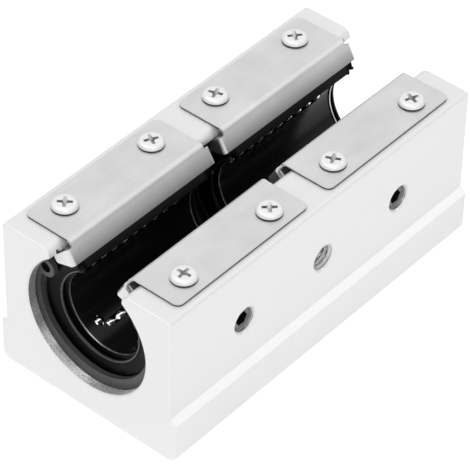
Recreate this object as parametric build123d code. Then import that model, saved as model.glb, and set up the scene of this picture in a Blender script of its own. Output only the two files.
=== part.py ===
from build123d import *
import os
from math import atan2, cos, radians, sin, sqrt, tan

# Open linear bearing block for a supported shaft: an extruded housing, two open ball bearings in
# one bore, bent keeper plates, circlips and screws. All sizes are in millimetres.
# X runs along the shaft, Z points up through the slot, and the origin is the middle of the
# mounting face. Left is +Y and right is -Y, seen along +X. Front is the end at -X.

# Shaft and ball circuits: a loaded row on the shaft, a return row beside it, a turn at each end
shaft_radius = 10.0
opening_angle = 60.0
ball_diameter = 3.175
ball_play = 0.005
ball_gap = 0.005
side_row_angle = 78.0
bottom_row_angle = 24.0
row_angle = 18.0
return_lift = 0.62
lower_row_shortfall = 1

# Bearings: the steel sleeve has a raceway land at each loaded row and a relief beside it
bearing_length = 42.0
bearing_gap = 4.5
bearing_fit = 0.02
sleeve_wall = 2.8
relief_clearance = 0.155
land_half_angle = 4.2
sleeve_end_chamfer = 0.6
ring_groove_spacing = 30.5
ring_groove_width = 1.6
ring_groove_depth = 0.75

# Ball cage: black moulded resin with a channel for each circuit
cage_shaft_clearance = 0.25
cage_clearance = 0.1
cage_floor = 0.35
cage_end_wall = 0.5
channel_clearance = 0.08
slot_clearance = 0.06
turn_window_radius = 1.15

# Seals: black moulded rings with a slightly dished face, a round rim and a lip on the shaft
seal_depth = 2.6
seal_set_back = 0.2
seal_clearance = 0.05
seal_seat_wall = 1.48
seal_face_land = 0.55
seal_dish = 0.6
seal_rim_height = 0.35
seal_rim_round = 0.35
seal_groove_depth = 0.7
seal_lip_width = 0.35

# Circlips for the bore, with lugs that stand inwards at the opening
circlip_thickness = 1.2
circlip_grip = 0.75
circlip_band = 2.15
circlip_inner_offset = 1.2
circlip_side_clearance = 0.15
circlip_groove_clearance = 0.1
lug_angle = 61.3
lug_hole_radius = 1.2
lug_inset = 2.05
lug_radius = 2.3
lug_root_radius = 0.8

# Housing: its length and height follow from the bearings that it holds
base_width = 48.0
upper_width = 45.2
axis_height = 23.0
top_cover = 1.16
circlip_end_wall = 2.4
bore_edge_break = 0.3
base_side_height = 10.4
base_slope_rise = 1.4
foot_radius = 2.0
top_edge_radius = 0.9
end_edge_radius = 0.5
mouth_clearance = 1.04
mouth_edge_radius = 2.0
relief_width = 22.6
relief_depth = 0.4

# Threaded holes: four in the mounting face, two for set screws and one for grease in the side
m6_radius = 3.0
mount_spacing_x = 70.0
mount_spacing_y = 35.0
mount_hole_depth = 12.0
drill_point_angle = 118.0
set_screw_spacing = 50.0
side_hole_edge_break = 0.35

# Keeper plates: bent sheet with a flange on the housing, a lip in the opening and two end tabs
sheet = 0.6
flange_set_back = 0.9
flange_outer_y = 20.75
flange_corner_radius = 1.6
bend_inner_radius = 0.7
tab_bend_radius = 0.3
lip_clearance = 0.1
lip_shaft_clearance = 2.4
tab_height = 3.7
tab_reach = 4.15
tab_tip_width = 1.7
tab_corner_radius = 0.4
tab_clearance = 0.1

# Keeper screws: M3, low pan head with a cross recess
screw_end_distance = 7.0
screw_y = 16.0
screw_hole_radius = 1.5
screw_hole_depth = 6.5
plate_hole_clearance = 0.2
thread_clearance = 0.05
shank_length = 5.5
shank_chamfer = 0.4
head_radius = 2.9
head_height = 1.3
head_rounding = 0.95
recess_width = 3.3
recess_floor_width = 1.5
recess_slot = 0.75
recess_depth = 1.05
recess_middle_radius = 0.75
recess_turns = (38.0, 62.0, 21.0, 50.0, 5.0, 44.0, 28.0, 70.0)

# Set screws: M6 with hexagon socket
set_screw_recess = 1.0
set_screw_seat = 0.02
set_screw_point_radius = 2.0
set_screw_chamfer = 0.5
socket_flats = 3.0
socket_depth = 2.4

# Sizes that follow from the ones above
touch = 0.001
overrun = 2.0
opening_half_angle = opening_angle / 2
opening_slope = tan(radians(opening_half_angle))
ball_radius = ball_diameter / 2
ball_pitch = ball_diameter + ball_gap
loaded_radius = shaft_radius + ball_radius
return_radius = loaded_radius + return_lift
turn_ball_radius = (loaded_radius + return_radius) / 2
raceway_radius = shaft_radius + ball_diameter + ball_play
relief_radius = return_radius + ball_radius + relief_clearance
sleeve_radius = raceway_radius + sleeve_wall
bore_radius = sleeve_radius + bearing_fit
bearing_half = bearing_length / 2
bearing_centre = bearing_gap / 2 + bearing_half
bearing_end = bearing_gap / 2 + bearing_length
seal_radius = sleeve_radius - seal_seat_wall - seal_clearance
seal_rim_radius = shaft_radius + seal_rim_height + seal_rim_round
seal_rim_depth = seal_set_back + seal_dish
seal_rim_end = seal_rim_depth + seal_rim_round
seal_groove_radius = seal_rim_radius + seal_groove_depth
cage_half = bearing_half - seal_depth - seal_clearance
cage_radius = raceway_radius - cage_clearance
cage_inner_radius = shaft_radius + cage_shaft_clearance
channel_half_width = ball_radius + channel_clearance
slot_radius = ball_radius + slot_clearance
floor_radius = cage_inner_radius + cage_floor
track_turn = turn_ball_radius * radians(row_angle) / 2
row_room = 2 * (cage_half - cage_end_wall - channel_half_width - track_turn)
upper_row_balls = 1 + int(row_room / ball_pitch)
balls_in_row = {"upper": upper_row_balls, "lower": upper_row_balls - lower_row_shortfall}
circuit_angles = {"upper": side_row_angle, "lower": 180 - bottom_row_angle}
circlip_radius = bore_radius + circlip_grip
circlip_inner_radius = circlip_radius - circlip_band
circlip_inner_x = bearing_end + circlip_side_clearance
circlip_middle_x = circlip_inner_x + circlip_thickness / 2
lug_pitch_radius = circlip_radius - lug_inset
groove_width = circlip_thickness + 2 * circlip_groove_clearance
groove_radius = circlip_radius + circlip_groove_clearance
half_length = circlip_inner_x + circlip_thickness + circlip_end_wall
housing_length = 2 * half_length
top_over_axis = sleeve_radius * cos(radians(opening_half_angle)) + top_cover
housing_height = axis_height + top_over_axis
mouth_width = 2 * (top_over_axis * opening_slope + mouth_clearance)
plate_top = housing_height + sheet
flange_length = bearing_length - 2 * flange_set_back
lip_lower_radius = shaft_radius + lip_shaft_clearance
tab_upper_radius = lip_lower_radius + tab_height
tab_outer_offset = bearing_half + tab_clearance + sheet
screw_spacing = flange_length - 2 * screw_end_distance
plate_hole_radius = screw_hole_radius + plate_hole_clearance
shank_radius = screw_hole_radius - thread_clearance
set_screw_radius = m6_radius - thread_clearance

# Section plane across the shaft: its x is the part's Y and its y is height above the shaft's axis
across = Plane(origin=(0, 0, axis_height), x_dir=(0, 1, 0), z_dir=(1, 0, 0))


def polar(radius, angle):
    """Section point about the shaft's axis; the angle is counted from the top towards +Y."""
    return radius * sin(radians(angle)), radius * cos(radians(angle))


def turned(*corners):
    """Ring turned about the shaft's axis from (x, radius) corners."""
    profile = Plane.XZ * make_face(Polyline(*corners, close=True))
    return Pos(0, 0, axis_height) * revolve(profile, axis=Axis.X)


def wedge(half_angle, middle_angle=0.0):
    """Section of a wedge about the shaft's axis that reaches past the housing."""
    reach = base_width
    sides = [polar(reach, middle_angle - half_angle), polar(reach, middle_angle + half_angle)]
    return make_face(Polyline((0, 0), *sides, close=True))


def opened(ring):
    """Ring with the bearing's opening cut through it, as flat radial faces."""
    return ring - extrude(across * wedge(opening_half_angle), housing_length, both=True)


def block():
    """Housing as extruded, with its slot and rounded edges, before any machining."""
    half_base = base_width / 2
    half_upper = upper_width / 2
    side = [
        (half_base, 0),
        (half_base, base_side_height),
        (half_upper, base_side_height + base_slope_rise),
        (half_upper, housing_height),
    ]
    outline = make_face(Polyline(*side, *[(-y, z) for y, z in reversed(side)], close=True))
    outline -= Pos(0, axis_height + housing_height / 2) * Rectangle(mouth_width, housing_height)
    feet = outline.vertices().filter_by(lambda v: v.Y < touch)
    outline = fillet(feet, foot_radius)
    top = outline.vertices().filter_by(lambda v: v.Y > housing_height - touch)
    outline = fillet(top.filter_by(lambda v: abs(v.X) > half_upper - touch), top_edge_radius)
    top = outline.vertices().filter_by(lambda v: v.Y > housing_height - touch)
    outline = fillet(top.filter_by(lambda v: abs(v.X) < mouth_width / 2 + touch), mouth_edge_radius)
    return extrude(Plane.YZ * outline, half_length, both=True)


def blind_hole(radius, depth, point_angle):
    """Drilled hole that goes up from the origin, with a conical bottom."""
    point = radius / tan(radians(point_angle / 2))
    profile = Polyline((0, -overrun), (radius, -overrun), (radius, depth), (0, depth + point), close=True)
    return revolve(Plane.XZ * make_face(profile), axis=Axis.Z)


def side_hole(x):
    """Threaded hole from the right side into the bore, with its edge broken."""
    face_y = upper_width / 2
    wall = face_y - bore_radius
    broken = m6_radius + side_hole_edge_break
    profile = Polyline(
        (0, -overrun),
        (broken, -overrun),
        (broken, 0),
        (m6_radius, side_hole_edge_break),
        (m6_radius, wall + overrun),
        (0, wall + overrun),
        close=True,
    )
    drill = revolve(Plane.XZ * make_face(profile), axis=Axis.Z)
    return Pos(x, -face_y, axis_height) * Rot(-90, 0, 0) * drill


def housing():
    """Aluminium housing, machined from the block."""
    solid = block()
    ends = solid.edges().filter_by(lambda e: abs(e.center().X) > half_length - touch)
    solid = fillet(ends, end_edge_radius)
    solid -= Box(housing_length + 2 * overrun, relief_width, 2 * relief_depth)
    bore = Cylinder(bore_radius, housing_length + 2 * overrun, rotation=(0, 90, 0))
    solid -= Pos(0, 0, axis_height) * bore
    for side in (-1, 1):
        cone = turned(
            (side * (half_length + overrun), 0),
            (side * (half_length + overrun), bore_radius + bore_edge_break + overrun),
            (side * (half_length - bore_edge_break), bore_radius),
            (side * (half_length - bore_edge_break), 0),
        )
        groove = Cylinder(groove_radius, groove_width, rotation=(0, 90, 0))
        solid -= cone
        solid -= Pos(side * circlip_middle_x, 0, axis_height) * groove
    for place in GridLocations(mount_spacing_x, mount_spacing_y, 2, 2):
        solid -= place * blind_hole(m6_radius, mount_hole_depth, drill_point_angle)
    for x in (-set_screw_spacing / 2, 0, set_screw_spacing / 2):
        solid -= side_hole(x)
    for place in keeper_screw_places(housing_height):
        solid -= place * Rot(180, 0, 0) * blind_hole(screw_hole_radius, screw_hole_depth, drill_point_angle)
    return solid


def keeper_screw_places(z):
    """The eight places of the keeper screws at height z, front to rear and left to right."""
    xs = [side * bearing_centre + end * screw_spacing / 2 for side in (-1, 1) for end in (-1, 1)]
    return [Pos(x, y, z) for y in (screw_y, -screw_y) for x in xs]


def bearing_sleeve():
    """Steel sleeve of the rear bearing, with raceway lands, seal seats and ring grooves."""
    section = Circle(sleeve_radius) - Circle(relief_radius)
    land = Circle(relief_radius + touch) - Circle(raceway_radius)
    for angle in circuit_angles.values():
        for side in (-1, 1):
            section += land & wedge(land_half_angle, side * angle)
    sleeve = extrude(across * section, bearing_half, both=True)
    for side in (-1, 1):
        seat_start = side * (bearing_half - seal_depth)
        end = side * (bearing_half + overrun)
        sleeve -= turned(
            (seat_start, 0), (seat_start, seal_radius + seal_clearance),
            (end, seal_radius + seal_clearance), (end, 0),
        )
        chamfer_start = side * (bearing_half - sleeve_end_chamfer)
        sleeve -= turned(
            (chamfer_start, sleeve_radius), (chamfer_start, sleeve_radius + overrun),
            (end, sleeve_radius + overrun), (end, sleeve_radius - sleeve_end_chamfer - overrun),
        )
        groove_middle = side * (ring_groove_spacing - ring_groove_width) / 2
        sleeve -= turned(
            (groove_middle - ring_groove_width / 2, sleeve_radius - ring_groove_depth),
            (groove_middle - ring_groove_width / 2, sleeve_radius + overrun),
            (groove_middle + ring_groove_width / 2, sleeve_radius + overrun),
            (groove_middle + ring_groove_width / 2, sleeve_radius - ring_groove_depth),
        )
    return Pos(bearing_centre, 0, 0) * opened(sleeve)


def circuit_frame(middle_angle, radius=0.0):
    """Plane square to the radius at an angle: its x is the part's X, its z points outwards."""
    y, z = polar(1.0, middle_angle)
    return Plane(origin=(0, radius * y, axis_height + radius * z), x_dir=(1, 0, 0), z_dir=(0, y, z))


def row_length(level):
    """Distance between the first and the last ball's middle in a row."""
    return (balls_in_row[level] - 1) * ball_pitch


def circuit_middle(level, side):
    """Angle of the middle of a circuit: its return row lies nearer to the opening."""
    return side * (circuit_angles[level] - row_angle / 2)


def channel(level, side):
    """Space that one circuit of balls runs in: a race track, the loaded slot and turn windows."""
    length = row_length(level)
    outer = SlotCenterToCenter(length, 2 * (track_turn + channel_half_width))
    island = SlotCenterToCenter(length, 2 * (track_turn - channel_half_width))
    middle = circuit_middle(level, side)
    track = extrude(circuit_frame(middle) * (outer - island), bore_radius)
    floor = Cylinder(floor_radius, bearing_length, rotation=(0, 90, 0))
    space = track - Pos(0, 0, axis_height) * floor
    y, z = polar(loaded_radius, side * circuit_angles[level])
    space += Pos(0, y, axis_height + z) * Cylinder(slot_radius, length, rotation=(0, 90, 0))
    for end in (-1, 1):
        space += Pos(end * length / 2, y, axis_height + z) * Sphere(slot_radius)
        window = Pos(end * (length / 2 + track_turn), 0) * Circle(turn_window_radius)
        space += extrude(circuit_frame(middle) * window, loaded_radius)
    return space


def ball_cage():
    """Moulded cage of the rear bearing, open to the shaft only at the loaded rows."""
    cage = Cylinder(cage_radius, 2 * cage_half, rotation=(0, 90, 0))
    cage -= Cylinder(cage_inner_radius, 2 * cage_half + overrun, rotation=(0, 90, 0))
    cage = Pos(0, 0, axis_height) * cage
    for level in circuit_angles:
        for side in (-1, 1):
            cage -= channel(level, side)
    return Pos(bearing_centre, 0, 0) * opened(cage)


def outer_seal():
    """Seal at the rear end of the rear bearing: dished face, round rim, groove and lip."""
    end = bearing_centre + bearing_half
    lip_start = seal_depth - seal_lip_width
    depths_and_radii = [
        (seal_set_back, seal_radius),
        (seal_set_back, seal_radius - seal_face_land),
        (seal_rim_depth, seal_rim_radius),
        (seal_rim_end, seal_rim_radius),
        (seal_rim_end, seal_groove_radius),
        (lip_start - (seal_groove_radius - shaft_radius) / 2, seal_groove_radius),
        (lip_start, shaft_radius),
        (seal_depth, shaft_radius),
        (seal_depth, seal_radius),
    ]
    ring = turned(*[(end - depth, radius) for depth, radius in depths_and_radii])
    rim = Plane.XZ * Pos(end - seal_rim_depth, seal_rim_radius) * Circle(seal_rim_round)
    ring += Pos(0, 0, axis_height) * revolve(rim, axis=Axis.X)
    return opened(ring)


def faceted_ball():
    """Ball as a solid of 26 flats with its corners on the ball's surface: 18 squares, 8 triangles."""
    tall = 1 + sqrt(2)
    scale = ball_radius / sqrt(2 + tall**2)
    corners = []
    for long_axis in range(3):
        for signs in [(a, b, c) for a in (-1, 1) for b in (-1, 1) for c in (-1, 1)]:
            sizes = [tall if axis == long_axis else 1.0 for axis in range(3)]
            corners.append(Vector(*[s * size * scale for s, size in zip(signs, sizes)]))
    steps = (-1, 0, 1)
    faces = []
    for normal in [Vector(a, b, c).normalized() for a in steps for b in steps for c in steps if a or b or c]:
        top = max(corner.dot(normal) for corner in corners)
        flat = [corner for corner in corners if corner.dot(normal) > top - touch]
        across_flat = (flat[0] - normal * top).normalized()
        other = normal.cross(across_flat)
        flat.sort(key=lambda corner: atan2(corner.dot(other), corner.dot(across_flat)))
        faces.append(Face(Wire.make_polygon(flat, close=True)))
    return Solid(Shell(faces))


def ball_circuit(level, side):
    """Balls of one circuit of the rear bearing: two rows and one ball in each turn."""
    ball = faceted_ball()
    loaded = side * circuit_angles[level]
    returning = side * (circuit_angles[level] - row_angle)
    places = []
    for step in range(balls_in_row[level]):
        x = step * ball_pitch - row_length(level) / 2
        places += [(x, loaded_radius, loaded), (x, return_radius, returning)]
    for end in (-1, 1):
        x = end * (row_length(level) / 2 + track_turn)
        places.append((x, turn_ball_radius, circuit_middle(level, side)))
    balls = []
    for x, radius, angle in places:
        y, z = polar(radius, angle)
        balls.append(Pos(bearing_centre + x, y, axis_height + z) * ball)
    return Compound(children=balls)


def circlip():
    """Retaining ring at the rear end, widest at the bottom, with a holed lug at each end."""
    lug_y, lug_z = polar(lug_pitch_radius, lug_angle)
    body = Circle(circlip_radius) - Pos(0, circlip_inner_offset) * Circle(circlip_inner_radius)
    body -= wedge(lug_angle)
    for side in (-1, 1):
        body += Pos(side * lug_y, lug_z) * Circle(lug_radius)
    body &= Circle(circlip_radius)
    inner = circlip_radius - touch
    roots = body.vertices().filter_by(
        lambda v: sqrt(v.X**2 + v.Y**2) < inner and v.Y < lug_z)
    body = fillet(roots, lug_root_radius)
    for side in (-1, 1):
        body -= Pos(side * lug_y, lug_z) * Circle(lug_hole_radius)
    return Pos(circlip_inner_x, 0, 0) * extrude(across * body, circlip_thickness)


def keeper_plate():
    """Keeper plate at the rear left, bent from one sheet: flange, lip and two end tabs."""
    up_y, up_z = polar(1.0, opening_half_angle)
    in_y, in_z = -up_z, up_y
    face = lip_clearance + sheet
    outer = bend_inner_radius + sheet
    centre_z = plate_top - axis_height - outer
    along = (centre_z - (face - outer) * in_z) / up_z
    centre_y = along * up_y + (face - outer) * in_y

    def on_lip(distance, offset):
        return distance * up_y + offset * in_y, distance * up_z + offset * in_z

    def on_bend(radius, turn):
        return centre_y - radius * sin(radians(turn)), centre_z + radius * cos(radians(turn))

    bend_turn = 90 - opening_half_angle
    flange_z = plate_top - axis_height
    outline = [
        Line((flange_outer_y, flange_z), (centre_y, flange_z)),
        ThreePointArc((centre_y, flange_z), on_bend(outer, bend_turn / 2), on_bend(outer, bend_turn)),
        Polyline(
            on_bend(outer, bend_turn),
            on_lip(lip_lower_radius, face),
            on_lip(lip_lower_radius, lip_clearance),
            on_bend(bend_inner_radius, bend_turn),
        ),
        ThreePointArc(
            on_bend(bend_inner_radius, bend_turn),
            on_bend(bend_inner_radius, bend_turn / 2),
            (centre_y, flange_z - sheet),
        ),
        Polyline(
            (centre_y, flange_z - sheet), (flange_outer_y, flange_z - sheet), (flange_outer_y, flange_z)
        ),
    ]
    plate = extrude(across * make_face(outline), flange_length / 2, both=True)
    corners = plate.edges().filter_by(Axis.Z).group_by(Axis.Y)[-1]
    plate = fillet(corners, flange_corner_radius)

    # The lower part of the lip runs past the flange and folds outwards into a tab at both ends.
    lip_plane = Plane(origin=(0, 0, axis_height), x_dir=(1, 0, 0), z_dir=(0, up_y, up_z))
    depth = face + tab_reach
    outside = Pos(0, tab_reach - depth / 2) * Rectangle(2 * tab_outer_offset, depth)
    lip_corners = outside.vertices().group_by(Axis.Y)[0]
    outside = fillet(lip_corners, tab_bend_radius + sheet)
    inside = Pos(0, depth / 2 - lip_clearance) * Rectangle(2 * (tab_outer_offset - sheet), depth)
    lip_corners = inside.vertices().group_by(Axis.Y)[0]
    inside = fillet(lip_corners, tab_bend_radius)
    channel_height = tab_upper_radius - lip_lower_radius
    strip = extrude(lip_plane * Pos(0, 0, lip_lower_radius) * (outside - inside), channel_height)

    middle = (tab_upper_radius + lip_lower_radius) / 2
    tip = tab_tip_width / 2
    root = tab_bend_radius + sheet - face
    taper = make_face(
        Polyline(
            (-face - touch, lip_lower_radius), (root, lip_lower_radius), (tab_reach, middle - tip),
            (tab_reach, middle + tip), (root, tab_upper_radius), (-face - touch, tab_upper_radius), close=True,
        )
    )
    tips = taper.vertices().group_by(Axis.X)[-1]
    taper = fillet(tips, tab_corner_radius)
    side_plane = Plane(origin=(0, 0, axis_height), x_dir=(0, -in_y, -in_z), z_dir=(1, 0, 0))
    plate += strip & extrude(side_plane * taper, bearing_length, both=True)

    for end in (-1, 1):
        hole = Cylinder(plate_hole_radius, 4 * sheet)
        plate -= Pos(end * screw_spacing / 2, screw_y, plate_top) * hole
    return Pos(bearing_centre, 0, 0) * plate


def keeper_screw(turn):
    """M3 pan head screw with its head's underside at the origin; turn is its recess in degrees."""
    profile = make_face(
        Polyline(
            (0, head_height), (head_radius, head_height), (head_radius, 0), (shank_radius, 0),
            (shank_radius, shank_chamfer - shank_length), (shank_radius - shank_chamfer, -shank_length),
            (0, -shank_length), close=True,
        )
    )
    rim = profile.vertices().group_by(Axis.Y)[-1].group_by(Axis.X)[-1]
    screw = revolve(Plane.XZ * fillet(rim, head_rounding), axis=Axis.Z)
    floor = head_height - recess_depth
    wing = make_face(
        Polyline(
            (-recess_floor_width / 2, floor), (recess_floor_width / 2, floor),
            (recess_width / 2, head_height), (-recess_width / 2, head_height), close=True,
        )
    )
    for quarter in (0, 90):
        screw -= Rot(0, 0, turn + quarter) * extrude(Plane.XZ * wing, recess_slot / 2, both=True)
    middle = Cone(recess_floor_width / 2 - recess_slot / 2, recess_middle_radius, recess_depth)
    return screw - Pos(0, 0, floor + recess_depth / 2) * middle


def set_screw():
    """M6 set screw with its point at the origin and its socket towards -Y."""
    length = upper_width / 2 - sleeve_radius - set_screw_seat - set_screw_recess
    point = set_screw_radius - set_screw_point_radius
    profile = Polyline(
        (0, 0), (set_screw_point_radius, 0), (set_screw_radius, point),
        (set_screw_radius, length - set_screw_chamfer),
        (set_screw_radius - set_screw_chamfer, length), (0, length), close=True,
    )
    screw = revolve(Plane.XZ * make_face(profile), axis=Axis.Z)
    socket = RegularPolygon(socket_flats / 2, 6, major_radius=False)
    screw -= extrude(Pos(0, 0, length) * socket, -socket_depth)
    return Rot(90, 0, 0) * screw


def write(name, shape):
    """Write one sub-part to its own file."""
    export_step(shape, f"parts/{name}.step")


def main():
    os.makedirs("parts", exist_ok=True)
    write("housing", housing())

    rear_parts = {
        "bearing_sleeve": bearing_sleeve(),
        "ball_cage": ball_cage(),
        "outer_seal": outer_seal(),
        "circlip": circlip(),
        "left_keeper_plate": keeper_plate(),
    }
    rear_parts["inner_seal"] = mirror(rear_parts["outer_seal"], Plane.YZ.offset(bearing_centre))
    rear_parts["right_keeper_plate"] = mirror(rear_parts["left_keeper_plate"], Plane.XZ)
    for level in circuit_angles:
        rear_parts[f"left_{level}_balls"] = ball_circuit(level, 1)
        rear_parts[f"right_{level}_balls"] = ball_circuit(level, -1)
    for name, shape in rear_parts.items():
        write(f"rear_{name}", shape)
        write(f"front_{name}", mirror(shape, Plane.YZ))

    places = keeper_screw_places(plate_top)
    write("keeper_screws", Compound(children=[p * keeper_screw(t) for p, t in zip(places, recess_turns)]))

    seats = [Pos(end * set_screw_spacing / 2, -sleeve_radius - set_screw_seat, axis_height) for end in (-1, 1)]
    write("set_screws", Compound(children=[seat * set_screw() for seat in seats]))


main()
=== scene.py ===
"""Looks of the open linear bearing block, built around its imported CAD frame.

The object rests on a plain pale floor in soft studio light. X runs along the shaft, Z points up
through the slot, and the side with the three holes faces -Y. All sizes are in metres.
"""

from __future__ import annotations

import logging
import math
from dataclasses import dataclass, field, replace
from enum import Enum

import bmesh
import bpy
import numpy as np
from mathutils import Matrix, Vector


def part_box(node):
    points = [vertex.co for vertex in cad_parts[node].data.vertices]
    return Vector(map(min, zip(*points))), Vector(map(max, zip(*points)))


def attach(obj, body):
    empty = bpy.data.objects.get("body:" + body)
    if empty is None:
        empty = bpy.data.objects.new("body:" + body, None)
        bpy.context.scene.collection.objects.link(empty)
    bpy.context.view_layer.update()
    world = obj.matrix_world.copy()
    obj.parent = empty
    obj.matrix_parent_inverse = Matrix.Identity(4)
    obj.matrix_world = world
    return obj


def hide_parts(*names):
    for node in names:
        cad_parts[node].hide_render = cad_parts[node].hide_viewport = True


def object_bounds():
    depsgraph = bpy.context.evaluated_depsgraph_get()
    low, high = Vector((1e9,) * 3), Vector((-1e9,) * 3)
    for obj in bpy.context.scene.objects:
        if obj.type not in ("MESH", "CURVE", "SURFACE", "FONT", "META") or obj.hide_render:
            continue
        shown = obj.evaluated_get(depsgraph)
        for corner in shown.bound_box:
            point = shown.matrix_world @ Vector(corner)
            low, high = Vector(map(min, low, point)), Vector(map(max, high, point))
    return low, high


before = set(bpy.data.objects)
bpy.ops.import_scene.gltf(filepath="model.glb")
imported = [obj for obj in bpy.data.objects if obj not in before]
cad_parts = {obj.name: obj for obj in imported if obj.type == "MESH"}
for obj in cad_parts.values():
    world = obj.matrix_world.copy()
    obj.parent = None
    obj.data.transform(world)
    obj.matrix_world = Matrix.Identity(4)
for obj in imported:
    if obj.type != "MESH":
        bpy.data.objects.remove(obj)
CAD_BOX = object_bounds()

LOG = logging.getLogger("bearing_block")
PHOTO_PIXELS = 470
QUARTER_TURN = 0.25
MERGE_DISTANCE = 1e-6
TINY = 1e-12
SMOOTH_ANGLE = math.radians(28)
# A face's direction has a part along each axis. Under the first number the face counts as upright
# to that axis, and over the second as looking along it.
SQUARE_TO = 0.1
LOOKS_ALONG = 0.5
# The screw heads are the part's highest points and stand on the keeper plates.
HEAD_HEIGHT = 0.0013
PLATE_TOP = CAD_BOX[1][2] - HEAD_HEIGHT


class End(Enum):
    """The two ends of the block, by the sign of their X."""

    FRONT = -1
    REAR = 1


class Side(Enum):
    """The two long sides, by the sign of their Y."""

    LEFT = 1
    RIGHT = -1


class Level(Enum):
    """The circuits of a bearing: beside the shaft or under it."""

    UPPER = "upper"
    LOWER = "lower"


class Lines(Enum):
    """How drawn or cut lines run on a surface, as the stretch of the noise that makes them."""

    ALONG_X = (0.02, 1.0, 1.0)
    AROUND_X = (1.0, 0.05, 0.05)
    NONE = (1.0, 1.0, 1.0)


@dataclass(frozen=True)
class BlockSizes:
    """Sizes that the CAD part has and the frame's boxes don't tell.

    Angles are in degrees round the shaft's axis, from straight up, but for the bottom rows from
    straight down. The row angle lies between a loaded row and its return row. A slack is the share
    of a radius by which a face of a round wall may miss it.
    """

    axis_height: float = 0.023
    shaft_radius: float = 0.010
    ball_diameter: float = 0.003175
    ball_gap: float = 0.000005
    upper_row_balls: int = 10
    lower_row_balls: int = 9
    side_row_angle: float = 78.0
    bottom_row_angle: float = 24.0
    row_angle: float = 18.0
    return_lift: float = 0.00062
    upper_width: float = 0.0452
    m6_radius: float = 0.003
    m6_pitch: float = 0.001
    hole_edge_break: float = 0.00035
    side_hole_spacing: float = 0.025
    set_screw_recess: float = 0.001
    socket_radius: float = 0.0018
    screw_places: tuple[float, float] = (0.01015, 0.03635)
    screw_offset: float = 0.016
    recess_reach: float = 0.00175
    cut_edge_depth: float = 0.00002
    seal_set_back: float = 0.0002
    seal_rim_place: tuple[float, float] = (0.0008, 0.0107)
    seal_rim_round: float = 0.00035
    seal_lip_radius: float = 0.01001
    flange_start: float = 0.0105
    flange_depth: float = 0.0007
    lug_angle: float = 61.3
    lug_pitch_radius: float = 0.0147
    lug_hole_radius: float = 0.0012
    mount_spacing_x: float = 0.070
    mount_spacing_y: float = 0.035
    mount_hole_depth: float = 0.012
    bore_radius: float = 0.016
    groove_radius: float = 0.01687
    slot_share: float = 0.78
    wall_slack: float = 0.02
    rim_slack: float = 0.1
    lip_turn: tuple[float, float] = (0.3, 0.7)
    mount_thread_share: float = 0.9


def add_group(
        name: str, inputs: dict[str, tuple[str, float]], outputs: dict[str, str]) -> bpy.types.NodeTree:
    """Make an empty shader node group with named sockets.

    Args:
        name: the group's name.
        inputs: socket name to its type and default value.
        outputs: socket name to its type.

    Returns:
        The group, with its input and output nodes in place.
    """
    tree = bpy.data.node_groups.new(name, "ShaderNodeTree")
    for label, (kind, value) in inputs.items():
        socket = tree.interface.new_socket(label, in_out="INPUT", socket_type=kind)
        if kind == "NodeSocketFloat":
            socket.default_value = value
    for label, kind in outputs.items():
        tree.interface.new_socket(label, in_out="OUTPUT", socket_type=kind)
    tree.nodes.new("NodeGroupInput").name = "in"
    tree.nodes.new("NodeGroupOutput").name = "out"
    return tree


def add_math(nodes: bpy.types.Nodes, operation: str, *values: float | None) -> bpy.types.Node:
    """Add a Math node and set some of its numbers.

    Args:
        nodes: the nodes that it joins.
        operation: what it works out.
        values: the number of each socket in turn, None where a link will come.

    Returns:
        The node.
    """
    node = nodes.new("ShaderNodeMath")
    node.operation = operation
    for socket, value in zip(node.inputs, values):
        if value is not None:
            socket.default_value = value
    return node


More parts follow.
